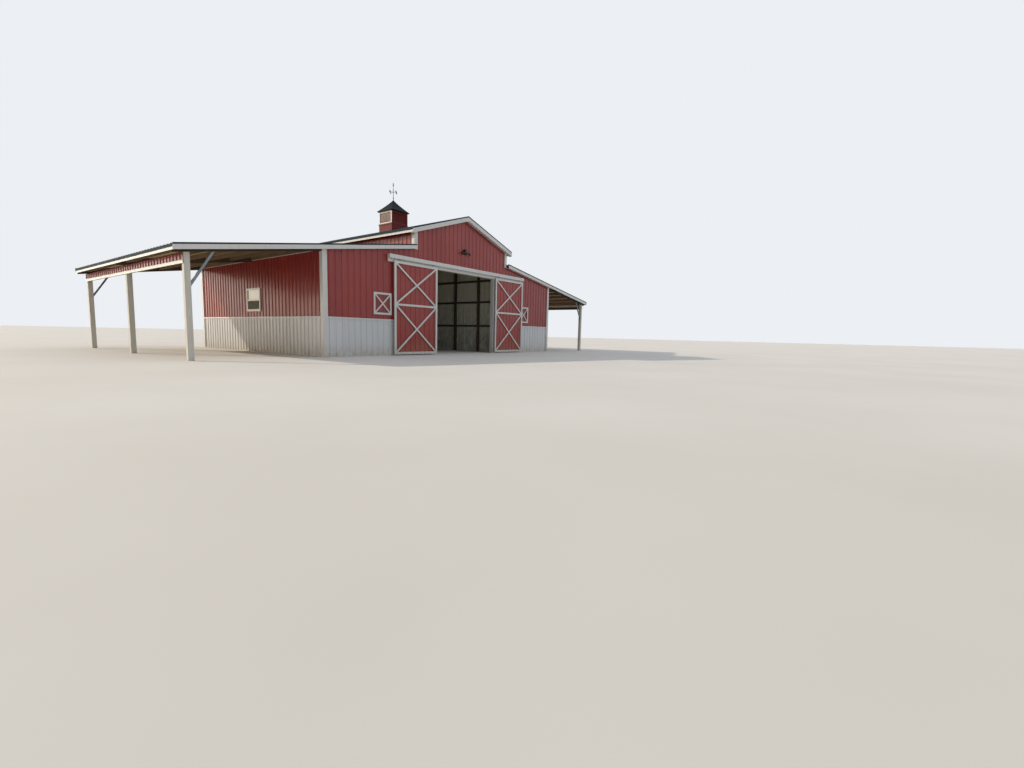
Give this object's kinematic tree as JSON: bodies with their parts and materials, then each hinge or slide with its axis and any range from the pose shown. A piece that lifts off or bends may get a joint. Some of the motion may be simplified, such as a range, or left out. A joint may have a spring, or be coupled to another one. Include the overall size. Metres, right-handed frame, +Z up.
{
  "type": "monitor barn",
  "caption": "Steel-sheeted barn with a raised centre aisle, side aisles, open lean-tos, a cupola, a turning weathervane and sliding cross-braced doors.",
  "frame": {"origin": "on the ground, at the centre of the plan, below the ridge", "axes": "+X to the right along the front wall as seen from outside, +Y back along the ridge into the barn, +Z up; the doorway faces -Y"},
  "size_m": [20.644, 9.444, 7.6943],
  "materials": {
    "red_sheet": "satin barn-red paint on ribbed steel sheet",
    "white_sheet": "satin white paint on ribbed steel sheet",
    "white_trim": "satin white paint on folded steel",
    "roof_sheet": "slate-grey baked paint on ribbed steel sheet",
    "inner_sheet": "pale backing coat on ribbed steel sheet",
    "dark_timber": "sawn timber, darkened with age",
    "post_timber": "square post, weathered pale grey",
    "zinc_steel": "zinc-coated steel",
    "door_red": "satin barn-red paint on ribbed steel sheet",
    "window_white": "off-white moulded frame",
    "window_glass": "clear glass",
    "lamp_black": "matt black paint",
    "cupola_black": "satin charcoal paint",
    "vane_black": "matt black paint"
  },
  "bodies": {
    "barn": {"front_wall_left": "red_sheet", "front_wall_right": "red_sheet", "front_gable_wall": "red_sheet", "rear_wall_left": "red_sheet", "rear_wall_right": "red_sheet", "rear_gable_wall": "red_sheet", "left_side_wall": "red_sheet", "right_side_wall": "red_sheet", "aisle_walls": "inner_sheet", "clerestory_walls": "red_sheet", "wainscot": "white_sheet", "belt_trim": "white_trim", "corner_trim": "white_trim", "left_low_roof": "roof_sheet", "right_low_roof": "roof_sheet", "left_high_roof": "roof_sheet", "right_high_roof": "roof_sheet", "ridge_cap": "roof_sheet", "rake_trim": "white_trim", "eave_trim": "white_trim", "skirt_panels": "red_sheet", "lean_to_posts": "post_timber", "outer_posts": "dark_timber", "inner_posts": "dark_timber", "rafters": "dark_timber", "purlins": "dark_timber", "beams": "dark_timber", "girts": "dark_timber", "knee_braces": "dark_timber", "door_jambs": "dark_timber", "door_casing": "white_trim", "track_board": "white_trim", "door_track": "zinc_steel", "track_cover": "white_trim", "shutter_frames": "white_trim", "shutter_panels": "door_red", "window_frames": "window_white", "window_glass": "window_glass", "gable_lamp": "lamp_black", "cupola_base": "red_sheet", "cupola_body": "red_sheet", "cupola_roof": "cupola_black", "vane_stand": "vane_black"},
    "left_door": {"left_door_panel": "door_red", "left_door_frame": "white_trim", "left_door_trolleys": "zinc_steel"},
    "right_door": {"right_door_panel": "door_red", "right_door_frame": "white_trim", "right_door_trolleys": "zinc_steel"},
    "vane": {"weathervane": "vane_black"}
  },
  "joints": [
    {"name": "left_door_slide", "type": "slide", "parent": "barn", "child": "left_door", "axis": [1, 0, 0], "range_m": [-0.216, 1.684]},
    {"name": "right_door_slide", "type": "slide", "parent": "barn", "child": "right_door", "axis": [-1, 0, 0], "range_m": [-0.028, 1.872]},
    {"name": "weathervane_turn", "type": "hinge", "parent": "barn", "child": "vane", "pos_m": [0, 0, 7.34], "axis": [0, 0, 1], "continuous": true}
  ]
}
